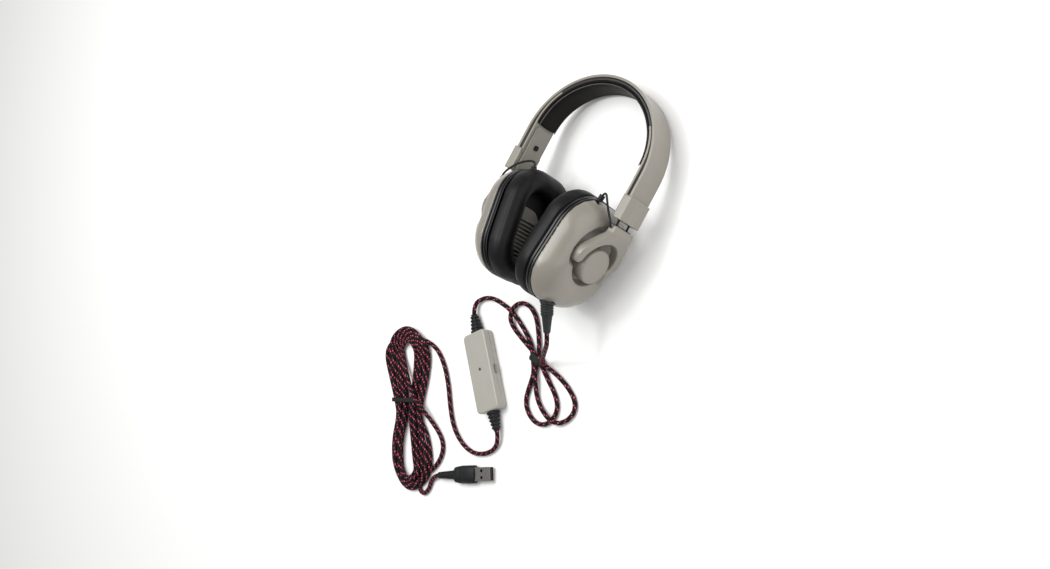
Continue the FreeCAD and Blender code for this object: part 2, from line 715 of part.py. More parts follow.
# From the plug the cord sinks to the table, where a tie holds the small coil.
CORD_A_DROP = [
    (41.3, -60.1, 49.0), (43.9, -67.6, 47.7), (43.3, -75.0, 42.0), (37.5, -81.5, 33.0), (28.5, -86.5, 22.5),
    (19.0, -91.5, 12.5), (10.0, -95.0, 6.5),
]
CORD_A_LEAD = [
    (-29.0, -79.0, 8.5), (-42.0, -73.0, 9.0), (-55.0, -70.5, 5.5), (-68.0, -70.5, 2.2), (-79.0, -75.0, 2.2),
    (-85.5, -84.0, 4.0), (-79.4, -91.9, 5.4),
]
CORD_B_LEAD = [
    (-7.8, -170.1, 5.4), (-3.6, -176.5, 4.4), (-5.0, -187.0, 2.2), (-14.0, -196.5, 2.2), (-28.0, -202.5, 2.2),
    (-45.0, -200.5, 2.2), (-60.0, -192.0, 2.2), (-72.0, -178.0, 2.2), (-82.5, -162.5, 2.2),
    (-95.0, -149.0, 2.2), (-110.5, -141.0, 2.8), (-124.0, -141.0, 4.0),
]
CORD_B_TAIL = [(-70.0, -245.0, 4.0), (-61.5, -242.5, 3.6), (-53.0, -238.0, 4.2)]

LOWER_RING = [
    (0, -104), (13, -96), (36, -101), (53, -108), (59, -115), (58, -125), (50, -135), (36, -146), (21, -149),
    (9, -144), (3, -134), (1, -122),
]
LOWER_HOLE = [(12, -108), (30, -114), (42, -122), (42, -131), (30, -137), (19, -138), (11, -130), (8, -118)]
UPPER_RING = [
    (2, -91), (-9, -94), (-24, -91), (-38, -85), (-46, -77), (-45, -68), (-38, -61), (-24, -60), (-14, -65),
    (-6, -76),
]
UPPER_HOLE = [(-12, -86), (-26, -82), (-36, -77), (-38, -71), (-33, -66), (-24, -66), (-16, -71), (-10, -79)]
KNOT = [(-9, -93), (-1, -87), (8, -90), (13, -97), (9, -103), (2, -107), (-5, -102)]
HANK_RING = [
    (-160, -136), (-141, -134), (-124, -141), (-110, -155), (-105, -174), (-101, -189), (-88, -199), (-72, -205),
    (-62, -216), (-60, -231), (-61, -246), (-60, -258), (-67, -266), (-74, -264), (-84, -274), (-99, -277), (-115, -268),
    (-131, -244), (-138, -222), (-146, -208), (-160, -199), (-175, -184), (-181, -167), (-174, -149),
]
HANK_HOLE = [(-145, -156), (-136, -160), (-132, -172), (-132, -184), (-141, -180), (-148, -169)]
HANK_SLIT = [(-114, -229), (-109, -231), (-100, -243), (-91, -253), (-92, -258), (-98, -259), (-107, -247)]


def smooth_face(outline, holes=()):
    """A flat face bounded by closed curves through the points."""
    wires = []
    for loop in (outline, *holes):
        curve = Part.BSplineCurve()
        curve.interpolate([Vector(x, y, 0) for x, y in loop], PeriodicFlag=True)
        wires.append(Part.Wire(curve.toShape()))
    face = Part.Face(wires[0])
    for wire in wires[1:]:
        face = face.cut(Part.Face(wire))
    return face


def flat_coil(faces):
    """The outer shape of a coil that lies on the table."""
    lift = 0.8
    solids = [face.extrude(Vector(0, 0, sizes.hankHeight)) for face in faces]
    whole = solids[0].fuse(solids[1:]).removeSplitter() if len(solids) > 1 else solids[0]
    whole.translate(Vector(0, 0, lift))
    return whole.Solids[0]


def cord_solids():
    thick = sizes.cordRadius
    keep(fixed("cord_a_drop", tube("cord_a_drop", CORD_A_DROP, thick)), "cord_a_drop", table)
    small = flat_coil([smooth_face(LOWER_RING, [LOWER_HOLE]), smooth_face(UPPER_RING, [UPPER_HOLE]),
                       smooth_face(KNOT)])
    keep(fixed("cord_a_coil", small), "cord_a_coil", table)
    keep(fixed("cord_a_lead", tube("cord_a_lead", CORD_A_LEAD, thick)), "cord_a_lead", table)
    keep(fixed("cord_b_lead", tube("cord_b_lead", CORD_B_LEAD, thick)), "cord_b_lead", table)
    keep(fixed("cord_b_hank", flat_coil([smooth_face(HANK_RING, [HANK_HOLE, HANK_SLIT])])), "cord_b_hank", table)
    keep(fixed("cord_b_tail", tube("cord_b_tail", CORD_B_TAIL, thick)), "cord_b_tail", table)


def tie(name, centre, turn, reach, width):
    """A strap round a bundle: a flat loop standing across it."""
    thick = 0.7
    outer = box(f"{name}_outer", str(width), str(reach), f"Sizes.hankHeight + 0.2 + {2 * thick}")
    inner = box(f"{name}_inner", str(width + 2), str(reach - 2 * thick), "Sizes.hankHeight + 0.2")
    outer.Placement = frame_of(Vector(-width / 2, -reach / 2, 0))
    inner.Placement = frame_of(Vector(-width / 2 - 1, -reach / 2 + thick, thick))
    return keep(cut(name, outer, inner), name, table * frame_of(Vector(*centre, 0), ABOUT_Z, turn))


def plug():
    """The locking plug under the left cup: socket collar, ribbed sleeve and tapered relief."""
    socket = cylinder("socket_ring", "Sizes.collarRadius + 0.9", "5")
    socket.Placement = frame_of(Vector(0, 0, -4.5))
    keep(socket, "cord_socket", plug_frame(0) * socket.Placement)
    collar = cylinder("plug_collar", "Sizes.collarRadius", "Sizes.collarLength - 0.5")
    collar.Placement = frame_of(Vector(0, 0, 0.5))
    relief = cone("plug_relief", "4.3", "2.7", "Sizes.reliefLength")
    relief.Placement = frame_of(Vector(0, 0, sizes.collarLength))
    keep(join("plug_mould", [collar, relief]), "cord_plug", plug_frame(0))


# ---- controller ----------------------------------------------------------------------------

controller_at = Vector(-43.6, -131.0, 0)


def controller_frame():
    """Controller frame: X along the box from cup cord to USB cord, Z up."""
    return table * frame_of(controller_at, ABOUT_Z, sizes.controllerTurn)


def controller_half(name, low, high, cavity_low, cavity_high):
    """One half of the controller's casing: a rounded tray with a 1.6 mm wall."""
    long, wide = sizes.controllerLength / 2, sizes.controllerWidth / 2
    body = new_body(name)
    sketch = sketch_on(body, "XY_Plane", rounded(long, wide, 4.0), str(low))
    solid = extrude(body, "Pad", sketch, str(high - low))
    doc.recompute()
    outer_level = low if cavity_low > low else high
    solid = fillet(body, solid, all_edges_at(solid, "Z", outer_level), "1.4")
    sketch = sketch_on(body, "XY_Plane", rounded(long - 1.6, wide - 1.6, 2.6), str(cavity_low))
    extrude(body, "Pocket", sketch, str(cavity_high - cavity_low), Reversed=True)
    return body


def controller():
    place = controller_frame()
    wide = sizes.controllerWidth / 2
    back = controller_half("controller_back", 0.0, 6.0, 1.6, 6.0)
    front = controller_half("controller_front", 6.0, 12.0, 6.0, 10.4)
    lamp = sketch_on(front, "XY_Plane", [circle(-2.0, 0, 1.2)], "8")
    extrude(front, "Pocket", lamp, "6", Reversed=True)
    for half in (back, front):
        windows = polygon([(-14, 5), (-4, 5), (-4, 7), (-14, 7)])
        sketch = sketch_on(half, "XZ_Plane", windows, f"{wide} - 4")
        extrude(half, "Pocket", sketch, "8", Reversed=True)
        windows = polygon([(-3, 4.8), (5, 4.8), (5, 7.2), (-3, 7.2)])
        sketch = sketch_on(half, "XZ_Plane", windows, f"-{wide} - 4")
        extrude(half, "Pocket", sketch, "8", Reversed=True)
    keep(back, "controller_back", place)
    keep(front, "controller_front", place)
    board = box("board_plate", "Sizes.controllerLength - 8", "Sizes.controllerWidth - 9", "1.2")
    board.Placement = frame_of(Vector(-sizes.controllerLength / 2 + 4, -wide + 4.5, 2.4))
    chip = box("controller_chip_form", "7", "7", "1")
    chip.Placement = frame_of(Vector(6, -3.5, 3.6))
    keep(join("controller_board_set", [board, chip]), "controller_board", place)
    lens = cylinder("power_lens", "1.15", "2.4")
    keep(lens, "power_lens", place * frame_of(Vector(-2.0, 0, 9.8)))
    # both buttons stand out of the long walls and travel inwards
    rocker = box("volume_rocker", "9.4", "4.4", "1.6")
    keep(rocker, "volume_rocker", place * frame_of(Vector(-13.7, -wide - 1.2, 5.2)))
    mute = box("mute_button", "7.4", "4.0", "2.0")
    keep(mute, "mute_button", place * frame_of(Vector(-2.7, wide - 3.0, 5.0)))
    for name, turn in (("controller_relief_in", -90), ("controller_relief_out", 90)):
        relief = cone(name, "5.2", "2.9", "17")
        edge = math.copysign(sizes.controllerLength / 2, turn)
        keep(relief, name, place * frame_of(Vector(edge, 0, 5.4), ABOUT_Y, turn))


# ---- USB plug ------------------------------------------------------------------------------

def usb_plug():
    """USB frame: X along the plug towards its contacts, Z up."""
    place = table * frame_of(Vector(-53.0, -238.0, 0), ABOUT_Z, sizes.usbTurn)
    relief = cone("usb_relief", "2.6", "3.5", "21")
    relief.Placement = frame_of(Vector(0, 0, 4.2), ABOUT_Y, 90)
    body = new_body("usb_grip")
    outline = polygon([(20, -4.5), (28, -8), (46, -8), (46, 8), (28, 8), (20, 4.5)])
    sketch = sketch_on(body, "XY_Plane", outline, "0.1")
    solid = extrude(body, "Pad", sketch, "8.2")
    doc.recompute()
    edges = all_edges_at(solid, "Z", 0.1) + all_edges_at(solid, "Z", 8.3)
    fillet(body, solid, edges, "1.2")
    keep(join("usb_mould", [body, relief]), "usb_overmould", place)
    body = new_body("usb_shell")
    sketch = sketch_on(body, "YZ_Plane", polygon([(-6, 1.95), (6, 1.95), (6, 6.45), (-6, 6.45)]), "46")
    extrude(body, "Pad", sketch, "18.5")
    sketch = sketch_on(body, "YZ_Plane", polygon([(-5.7, 2.25), (5.7, 2.25), (5.7, 6.15), (-5.7, 6.15)]), "46")
    extrude(body, "Pocket", sketch, "20", Reversed=True)
    windows = []
    for y in (-2.9, 2.9):
        windows += polygon([(53, y - 1.2), (55.4, y - 1.2), (55.4, y + 1.2), (53, y + 1.2)])
    sketch = sketch_on(body, "XY_Plane", windows, "0")
    extrude(body, "Pocket", sketch, "10", Reversed=True)
    keep(body, "usb_shell", place)
    tongue = box("usb_tongue", "17.5", "11", "1.8")
    keep(tongue, "usb_tongue", place * frame_of(Vector(46, -5.5, 2.3)))


# ---- cable loops between cup and fork ------------------------------------------------------

LOOPS = {
    "left": [
        (36.8, -7.9, 59.0), (41.0, -9.8, 58.5), (46.5, -12.2, 54.0), (53.0, -14.6, 50.3), (58.5, -15.2, 45.5),
        (61.8, -15.4, 41.0), (62.2, -15.0, 37.0), (62.3, -13.6, 35.2),
    ],
    "right": [
        (42.5, 7.9, 60.1), (46.0, 9.6, 60.3), (50.5, 12.2, 57.0), (55.0, 14.6, 52.0), (59.0, 15.2, 46.5),
        (61.8, 15.4, 41.5), (62.2, 15.0, 37.0), (62.3, 13.6, 35.2),
    ],
}


def cable_loop(side, slide, cup):
    """The short cable from a grommet in the cup's rim to the front of the fork's neck."""
    y = math.copysign(7.6, LOOPS[side][0][1])
    grommet = cylinder(f"{side}_grommet", "2.4", "5.5")
    keep(grommet, f"{side}_grommet", cup * frame_of(Vector(GROMMET_X, y, GROMMET_BASE)))
    start = (slide.inverse() * cup).multVec(Vector(GROMMET_X, y, GROMMET_BASE + 5.5))
    points = [tuple(start)] + LOOPS[side]
    keep(fixed(f"{side}_cable_loop", tube(f"{side}_cable_loop", points, 0.9)), f"{side}_cable_loop", slide)


# ---- assembly ------------------------------------------------------------------------------

def headband():
    outer_strip()
    spring_outer = sizes.bandRadius - sizes.stripThick - 0.1
    arch("band_spring", spring_outer, spring_outer - sizes.springThick, math.radians(40), "Sizes.springWidth")
    arch("pad_base", inner_radius - 0.1, inner_radius - sizes.leafThick, fold + 0.01, "Sizes.padWidth")
    band_pad()
    band_lead()
    for side, (place, _, _) in SIDES.items():
        leg_leaf(side, place)
        leg_cover(side, place)
        cover_screw(side, place)
        sleeve(side, place)


def cups():
    for side, (_, slide, cup) in SIDES.items():
        fork(side, slide)
        slide_rods(side, slide)
        cup_shell(side, cup)
        boss_cap(side, cup)
        baffle_ring(side, cup)
        grille(side, cup)
        cushion(side, cup)
        driver(side, cup)
        shell_screws(side, cup)
    for side, (_, slide, cup) in SIDES.items():
        cable_loop(side, slide, cup)


def check_and_write():
    doc.recompute()
    faults = [obj.Label for obj in doc.Objects if any(word in obj.State for word in ("Invalid", "Error"))]
    for obj in parts:
        if obj.Shape.isNull() or not obj.Shape.isValid():
            faults.append(obj.Label)
    if faults:
        raise RuntimeError("these objects failed: " + ", ".join(faults))
    os.makedirs("parts", exist_ok=True)
    for obj in parts:
        obj.Shape.exportStep(f"parts/{obj.Label}.step")
    print(len(parts), "sub-parts written")


headband()
cups()
plug()
cord_solids()
tie("coil_tie", (2.5, -96.0), -100.0, 24.0, 7.0)
tie("hank_tie", (-124.0, -198.5), -66.0, 52.0, 6.0)
controller()
usb_plug()
check_and_write()
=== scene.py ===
import math

import bpy
from mathutils import Matrix, Vector


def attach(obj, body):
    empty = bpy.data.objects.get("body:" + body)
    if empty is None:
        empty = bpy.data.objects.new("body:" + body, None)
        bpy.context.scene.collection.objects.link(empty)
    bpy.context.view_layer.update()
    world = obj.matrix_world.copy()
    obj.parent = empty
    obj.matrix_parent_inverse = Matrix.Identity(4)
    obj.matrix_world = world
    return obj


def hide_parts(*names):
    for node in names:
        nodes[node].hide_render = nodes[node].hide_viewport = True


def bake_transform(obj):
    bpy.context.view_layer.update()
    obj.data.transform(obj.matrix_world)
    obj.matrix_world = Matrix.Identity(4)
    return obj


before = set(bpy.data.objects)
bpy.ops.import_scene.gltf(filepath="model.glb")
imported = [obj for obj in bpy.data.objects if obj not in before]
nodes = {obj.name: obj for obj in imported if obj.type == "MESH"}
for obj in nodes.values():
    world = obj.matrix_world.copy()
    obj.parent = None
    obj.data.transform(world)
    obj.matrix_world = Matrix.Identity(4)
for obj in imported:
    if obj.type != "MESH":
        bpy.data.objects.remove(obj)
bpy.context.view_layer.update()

# places of the parts at rest, in millimetres and degrees
rest = {
    "tableShift": -52.292, "headHeight": 42.41, "headLean": -101.765,    # lying on cups and band
    "hinge": (50, 0, 4), "leftTilt": 6, "rightTilt": 12, "rightSlide": -3,
    "controller": (-43.6, -131, 0), "controllerTurn": -47.5,
    "usb": (-53, -238, 0), "usbTurn": 29.5,
}

# frames of the moving parts, in millimetres until settle() turns them to metres
tablePlace = Matrix.Translation((0, rest["tableShift"], 0))
headPlace = (tablePlace @ Matrix.Translation((0, 0, rest["headHeight"]))
             @ Matrix.Rotation(math.radians(rest["headLean"]), 4, "X"))
tiltLeft = Matrix.Translation(rest["hinge"]) @ Matrix.Rotation(math.radians(rest["leftTilt"]), 4, "Y")
tiltRight = Matrix.Translation(rest["hinge"]) @ Matrix.Rotation(math.radians(rest["rightTilt"]), 4, "Y")
rightSlidePlace = (headPlace @ Matrix.Rotation(math.pi, 4, "Z")
                   @ Matrix.Translation((0, 0, rest["rightSlide"])))
places = {
    "left": {"cup": headPlace @ tiltLeft, "slide": headPlace},
    "right": {"cup": rightSlidePlace @ tiltRight, "slide": rightSlidePlace},
}
controllerPlace = (tablePlace @ Matrix.Translation(rest["controller"])
                   @ Matrix.Rotation(math.radians(rest["controllerTurn"]), 4, "Z"))
usbPlace = (tablePlace @ Matrix.Translation(rest["usb"])
            @ Matrix.Rotation(math.radians(rest["usbTurn"]), 4, "Z"))
standing = Matrix(((0, 0, 1, 0), (1, 0, 0, 0), (0, 1, 0, 0), (0, 0, 0, 1)))    # drawn along Z, used along X


def deselectAll():
    if bpy.context.object and bpy.context.object.mode != "OBJECT":
        bpy.ops.object.mode_set(mode="OBJECT")
    bpy.ops.object.select_all(action="DESELECT")


def take(piece):
    deselectAll()
    piece.select_set(True)
    bpy.context.view_layer.objects.active = piece


def editAll(piece):
    take(piece)
    bpy.ops.object.mode_set(mode="EDIT")
    bpy.ops.mesh.select_all(action="SELECT")


def applyModifier(piece, kind, **settings):
    take(piece)
    modifier = piece.modifiers.new(kind.lower(), kind)
    for key, value in settings.items():
        setattr(modifier, key, value)
    bpy.ops.object.modifier_apply(modifier=modifier.name)


def settle(piece, place):
    # millimetres to metres, and the place goes into the mesh
    take(piece)
    piece.data.transform(Matrix.Scale(0.001, 4) @ place)
    bpy.ops.object.mode_set(mode="EDIT")
    bpy.ops.mesh.select_all(action="SELECT")
    bpy.ops.mesh.remove_doubles(threshold=0.000005)
    bpy.ops.mesh.normals_make_consistent(inside=False)
    bpy.ops.object.mode_set(mode="OBJECT")


def smoothShade(piece, angle):
    take(piece)
    bpy.ops.object.shade_smooth_by_angle(angle=math.radians(angle))


def hexColour(text):
    parts = [int(text[i:i + 2], 16) / 255 for i in (1, 3, 5)]
    return (*[p / 12.92 if p <= 0.04045 else ((p + 0.055) / 1.055) ** 2.4 for p in parts], 1)


def addNode(tree, kind, settings=None, links=None, stops=()):
    # settings and links are keyed by a socket's name or number; stops are (place, colour) on a ramp
    node = tree.nodes.new(kind)
    for key, value in (settings or {}).items():
        if isinstance(key, int) or key in node.inputs:
            node.inputs[key].default_value = value
        else:
            setattr(node, key, value)
    for key, source in (links or {}).items():
        tree.links.new(source, node.inputs[key])
    for number, (position, colour) in enumerate(stops):
        node.color_ramp.elements[number].position = position
        node.color_ramp.elements[number].color = hexColour(colour)
    return node


def newFinish(name, **shader):
    finish = bpy.data.materials.new(name)
    finish.use_nodes = True
    tree = finish.node_tree
    surface = tree.nodes["Principled BSDF"]
    for key, value in shader.items():
        surface.inputs[key.replace("_", " ")].default_value = value
    return finish, tree, surface


# where the two tones of a noise pattern end, as a share of its range
toneLow, toneHigh = 0.3, 0.7


def mouldedAbs(name, low, high, rough):
    # ABS moulded in a spark-eroded tool: satin, flow clouds of 18 mm, handling marks of 7 mm, grain of 0.6 mm
    scales = {"cloud": 55.0, "handled": 140.0, "grain": 1600.0}
    finish, tree, surface = newFinish(name, IOR=1.52, Coat_Weight=0.15, Coat_Roughness=0.16)
    where = addNode(tree, "ShaderNodeTexCoord").outputs["Object"]
    cloud = addNode(tree, "ShaderNodeTexNoise", {"Scale": scales["cloud"], "Detail": 3.0}, {"Vector": where})
    grain = addNode(tree, "ShaderNodeTexNoise", {"Scale": scales["grain"], "Detail": 2.0}, {"Vector": where})
    handled = addNode(tree, "ShaderNodeTexNoise", {"Scale": scales["handled"], "Detail": 5.0},
                      {"Vector": where})
    tone = addNode(tree, "ShaderNodeValToRGB", links={"Fac": cloud.outputs["Fac"]},
                   stops=((toneLow, low), (toneHigh, high)))
    shine = addNode(tree, "ShaderNodeMapRange", {"To Min": rough - 0.02, "To Max": rough + 0.04},
                    {"Value": handled.outputs["Fac"]})
    bump = addNode(tree, "ShaderNodeBump", {"Strength": 0.5, "Distance": 0.00003},
                   {"Height": grain.outputs["Fac"]})
    tree.links.new(tone.outputs["Color"], surface.inputs["Base Color"])
    tree.links.new(shine.outputs["Result"], surface.inputs["Roughness"])
    tree.links.new(bump.outputs["Normal"], surface.inputs["Normal"])
    return finish


def leatherette(name, low, high, rough, gloss=0.2):
    # PVC leatherette over foam: embossed pebbles of 1.2 mm, creases of 11 mm, soft sheen on the crown
    scales = {"pebble": 850.0, "crease": 90.0}
    finish, tree, surface = newFinish(name, IOR=1.5, Specular_IOR_Level=gloss, Coat_Weight=0.05,
                                      Coat_Roughness=0.22)
    where = addNode(tree, "ShaderNodeTexCoord").outputs["Object"]
    pebble = addNode(tree, "ShaderNodeTexVoronoi", {"Scale": scales["pebble"], "feature": "SMOOTH_F1"},
                     {"Vector": where})
    crease = addNode(tree, "ShaderNodeTexNoise", {"Scale": scales["crease"], "Detail": 6.0, "Distortion": 0.8},
                     {"Vector": where})
    tone = addNode(tree, "ShaderNodeValToRGB", links={"Fac": crease.outputs["Fac"]},
                   stops=((toneLow, low), (toneHigh, high)))
    shine = addNode(tree, "ShaderNodeMapRange", {"To Min": rough - 0.06, "To Max": rough + 0.12},
                    {"Value": crease.outputs["Fac"]})
    emboss = addNode(tree, "ShaderNodeBump", {"Strength": 0.35, "Distance": 0.00015},
                     {"Height": pebble.outputs["Distance"]})
    soft = addNode(tree, "ShaderNodeBump", {"Strength": 0.4, "Distance": 0.0006},
                   {"Height": crease.outputs["Fac"], "Normal": emboss.outputs["Normal"]})
    tree.links.new(tone.outputs["Color"], surface.inputs["Base Color"])
    tree.links.new(shine.outputs["Result"], surface.inputs["Roughness"])
    tree.links.new(soft.outputs["Normal"], surface.inputs["Normal"])
    return finish


def metal(name, low, high, rough):
    # drawn or stamped steel: fine scratches 1.1 mm apart, a little uneven
    finish, tree, surface = newFinish(name, Metallic=1.0)
    where = addNode(tree, "ShaderNodeTexCoord").outputs["Object"]
    scratch = addNode(tree, "ShaderNodeTexNoise", {"Scale": 900.0, "Detail": 4.0}, {"Vector": where})
    tone = addNode(tree, "ShaderNodeValToRGB", links={"Fac": scratch.outputs["Fac"]},
                   stops=((toneLow, low), (toneHigh, high)))
    shine = addNode(tree, "ShaderNodeMapRange", {"To Min": rough - 0.05, "To Max": rough + 0.1},
                    {"Value": scratch.outputs["Fac"]})
    tree.links.new(tone.outputs["Color"], surface.inputs["Base Color"])
    tree.links.new(shine.outputs["Result"], surface.inputs["Roughness"])
    return finish


def rubber(name, low, high, rough):
    # soft PVC moulding: matt, with a greyish bloom in patches of 4 mm
    finish, tree, surface = newFinish(name, IOR=1.5, Specular_IOR_Level=0.3)
    where = addNode(tree, "ShaderNodeTexCoord").outputs["Object"]
    bloom = addNode(tree, "ShaderNodeTexNoise", {"Scale": 260.0, "Detail": 5.0}, {"Vector": where})
    tone = addNode(tree, "ShaderNodeValToRGB", links={"Fac": bloom.outputs["Fac"]},
                   stops=((toneLow, low), (toneHigh, high)))
    shine = addNode(tree, "ShaderNodeMapRange", {"To Min": rough - 0.05, "To Max": rough + 0.1},
                    {"Value": bloom.outputs["Fac"]})
    bump = addNode(tree, "ShaderNodeBump", {"Strength": 0.4, "Distance": 0.00004},
                   {"Height": bloom.outputs["Fac"]})
    tree.links.new(tone.outputs["Color"], surface.inputs["Base Color"])
    tree.links.new(shine.outputs["Result"], surface.inputs["Roughness"])
    tree.links.new(bump.outputs["Normal"], surface.inputs["Normal"])
    return finish


def braid(name, length, diameter):
    # polyester braid: black yarns, with red tracer yarns where two marked carriers cross
    finish, tree, surface = newFinish(name, Roughness=0.7, Specular_IOR_Level=0.2, Sheen_Weight=0.04,
                                      Sheen_Roughness=0.4)
    weave = {"around": 8.0, "stretch": 1.3, "tracerRight": 4.0, "tracerLeft": 2.0}
    cell = math.pi * diameter / weave["around"]                  # 1.5 mm round the cord, 2 mm along it
    uv = addNode(tree, "ShaderNodeUVMap", {"uv_map": "UVMap"})
    split = addNode(tree, "ShaderNodeSeparateXYZ", links={"Vector": uv.outputs["UV"]})
    along = addNode(tree, "ShaderNodeMath", {"operation": "MULTIPLY", 1: length / cell / weave["stretch"]},
                    {0: split.outputs["X"]})
    turn = addNode(tree, "ShaderNodeMath", {"operation": "MULTIPLY", 1: weave["around"]},
                   {0: split.outputs["Y"]})
    crossed = []
    tracers = []
    for operation, repeat in (("ADD", weave["tracerRight"]), ("SUBTRACT", weave["tracerLeft"])):
        carrier = addNode(tree, "ShaderNodeMath", {"operation": operation},
                          {0: along.outputs[0], 1: turn.outputs[0]})
        crossed.append(addNode(tree, "ShaderNodeMath", {"operation": "PINGPONG", 1: 0.5},
                               {0: carrier.outputs[0]}))
        whole = addNode(tree, "ShaderNodeMath", {"operation": "FLOOR"}, {0: carrier.outputs[0]})
        place = addNode(tree, "ShaderNodeMath", {"operation": "FLOORED_MODULO", 1: repeat},
                        {0: whole.outputs[0]})
        tracers.append(addNode(tree, "ShaderNodeMath", {"operation": "LESS_THAN", 1: 0.5},
                               {0: place.outputs[0]}))
    height, fleck = [addNode(tree, "ShaderNodeMath", {"operation": "MULTIPLY"},
                             {0: pair[0].outputs[0], 1: pair[1].outputs[0]}) for pair in (crossed, tracers)]
    where = addNode(tree, "ShaderNodeTexCoord").outputs["Object"]
    # yarns shade unevenly over 1.4 mm
    uneven = addNode(tree, "ShaderNodeTexNoise", {"Scale": 700.0, "Detail": 2.0}, {"Vector": where})
    dark, red = [addNode(tree, "ShaderNodeValToRGB", links={"Fac": uneven.outputs["Fac"]},
                         stops=((toneLow, low), (toneHigh, high)))
                 for low, high in (("#040303", "#0D0808"), ("#A8304C", "#DE6A82"))]
    shade = addNode(tree, "ShaderNodeMix", {"data_type": "RGBA"},
                    {0: fleck.outputs[0], 6: dark.outputs["Color"], 7: red.outputs["Color"]})
    bump = addNode(tree, "ShaderNodeBump", {"Strength": 0.8, "Distance": 0.0005},
                   {"Height": height.outputs[0]})
    tree.links.new(shade.outputs[2], surface.inputs["Base Color"])
    tree.links.new(bump.outputs["Normal"], surface.inputs["Normal"])
    return finish


finishes = {
    "greyAbs": mouldedAbs("satin grey ABS", "#847F76", "#888379", 0.29),
    "paleAbs": mouldedAbs("pale grey ABS", "#A19E96", "#A5A299", 0.36),
    "blackAbs": mouldedAbs("satin black ABS", "#070708", "#0D0D0F", 0.34),
    "grilleAbs": mouldedAbs("grey grille ABS", "#7C7A72", "#8A8880", 0.45),
    "cushionHide": leatherette("black leatherette cushion", "#08080A", "#0F0F12", 0.46),
    "linerHide": leatherette("black leatherette liner", "#0A0908", "#120F0E", 0.55, 0.1),
    "seamHide": leatherette("leatherette piping", "#4A4641", "#5A554F", 0.45),
    "darkSteel": metal("blackened spring steel", "#1B1B1C", "#2E2E30", 0.34),
    "screwSteel": metal("zinc plated steel screw", "#6E6D6A", "#8B8A86", 0.3),
    "magnetSteel": metal("nickel plated magnet", "#A5A39E", "#BCBAB5", 0.26),
    "plugSteel": metal("stamped plug shell", "#8F8A88", "#A9A5A2", 0.22),
    "film": mouldedAbs("clear diaphragm film", "#6C6A5E", "#7C7A6D", 0.25),
    "rubber": rubber("black soft PVC", "#0C0D0F", "#16181A", 0.5),
    "greenRubber": rubber("dark grey green PVC", "#1A1E1C", "#272C2A", 0.48),
    # the twist ties' black finish, also worn by the sheet of painted shade inside each cushion
    "tieYarnAndPaintedShade": rubber("black twist tie and painted shade", "#0E0E0E", "#1C1C1A", 0.6),
    "board": mouldedAbs("green solder mask", "#1F4A30", "#2B5B3C", 0.35),
    "lens": mouldedAbs("smoked lamp lens", "#3A3B36", "#4A4B45", 0.18),
}


def wear(piece, finish, body):
    piece.data.materials.clear()
    piece.data.materials.append(finishes[finish])
    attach(piece, body)
    return piece


# camera: degrees and millimetres in the headset's own frame, lens for a 36 mm wide sensor
camera = {
    "turn": 49.8, "rise": 1.4, "roll": 28.1, "distance": 900.0, "aimSide": 2.0, "aimUp": -34.9,
    "lens": 38.263, "sensor": 36,
}

turn, rise, roll = [math.radians(camera[key]) for key in ("turn", "rise", "roll")]
toEye = Vector((math.cos(turn) * math.cos(rise), -math.sin(turn) * math.cos(rise), math.sin(rise)))
sideways = Vector((math.sin(turn), math.cos(turn), 0))
upwards = toEye.cross(sideways)
eye = sideways * camera["aimSide"] + upwards * camera["aimUp"] + toEye * camera["distance"]
axisX = sideways * math.cos(roll) + upwards * math.sin(roll)
axisY = upwards * math.cos(roll) - sideways * math.sin(roll)
looking = headPlace @ Matrix((
    (axisX.x, axisY.x, toEye.x, eye.x),
    (axisX.y, axisY.y, toEye.y, eye.y),
    (axisX.z, axisY.z, toEye.z, eye.z),
    (0, 0, 0, 1),
))
looking.translation *= 0.001
bpy.ops.object.camera_add()
cameraObject = bpy.context.object
cameraObject.matrix_world = looking
cameraObject.data.lens = camera["lens"]
cameraObject.data.sensor_width = camera["sensor"]
bpy.context.scene.camera = cameraObject
print("camera set")

# cords: diameter in millimetres, lengths in metres
cords = {"diameter": 3.9, "lengthA": 0.587, "lengthB": 2.03}

cordARoute = [
    (41.3, -60.1, 49.0), (42.6, -64, 48.3), (41.5, -69, 44.5), (36, -75, 37), (29, -81.5, 28),
    (22.5, -87, 19.5),
    (17, -92, 12.5), (13.5, -95.5, 8), (16.5, -97.5, 5), (23, -98.5, 3.6), (32, -100, 2.8), (45, -104, 2),
    (56.5, -110.5, 2), (60, -119, 2), (56, -129, 2), (48.5, -135.5, 3.8), (39.5, -135.5, 5), (26, -132, 2.4),
    (17, -125, 2.2), (12.5, -115, 4.4), (6.5, -107, 2.9), (5, -98.5, 2.9), (3.5, -91, 2.9), (-2, -82, 2.2),
    (-7.5, -73.5, 2), (-14.5, -65, 2), (-24, -60, 2), (-34, -60.5, 2), (-40.5, -65.5, 2.2), (-40.5, -72, 4.6),
    (-38.5, -78.5, 4.6), (-33.5, -84, 2.4), (-23, -87.5, 2.6), (-8, -90.5, 5), (3, -93, 6.4), (11, -96, 6.2),
    (15, -102, 3.2), (23.5, -108.5, 2), (34, -114.5, 2), (41.5, -122, 2), (43, -130.5, 2), (39.5, -139, 2),
    (33, -144.5, 2), (23, -145.5, 2), (12.5, -140.5, 2), (7, -132.5, 2), (6, -121.5, 2), (5.5, -110, 2),
    (2, -102, 2.9), (-2, -96, 2.9), (-6.5, -90, 3), (-14, -84.5, 2.2), (-24, -79.5, 2), (-35, -74.5, 2),
    (-46, -71.5, 2), (-57, -70.5, 2), (-68, -70.5, 2.2), (-79, -75, 2.2), (-85.5, -84, 4), (-79.4, -91.9, 5.4),
]
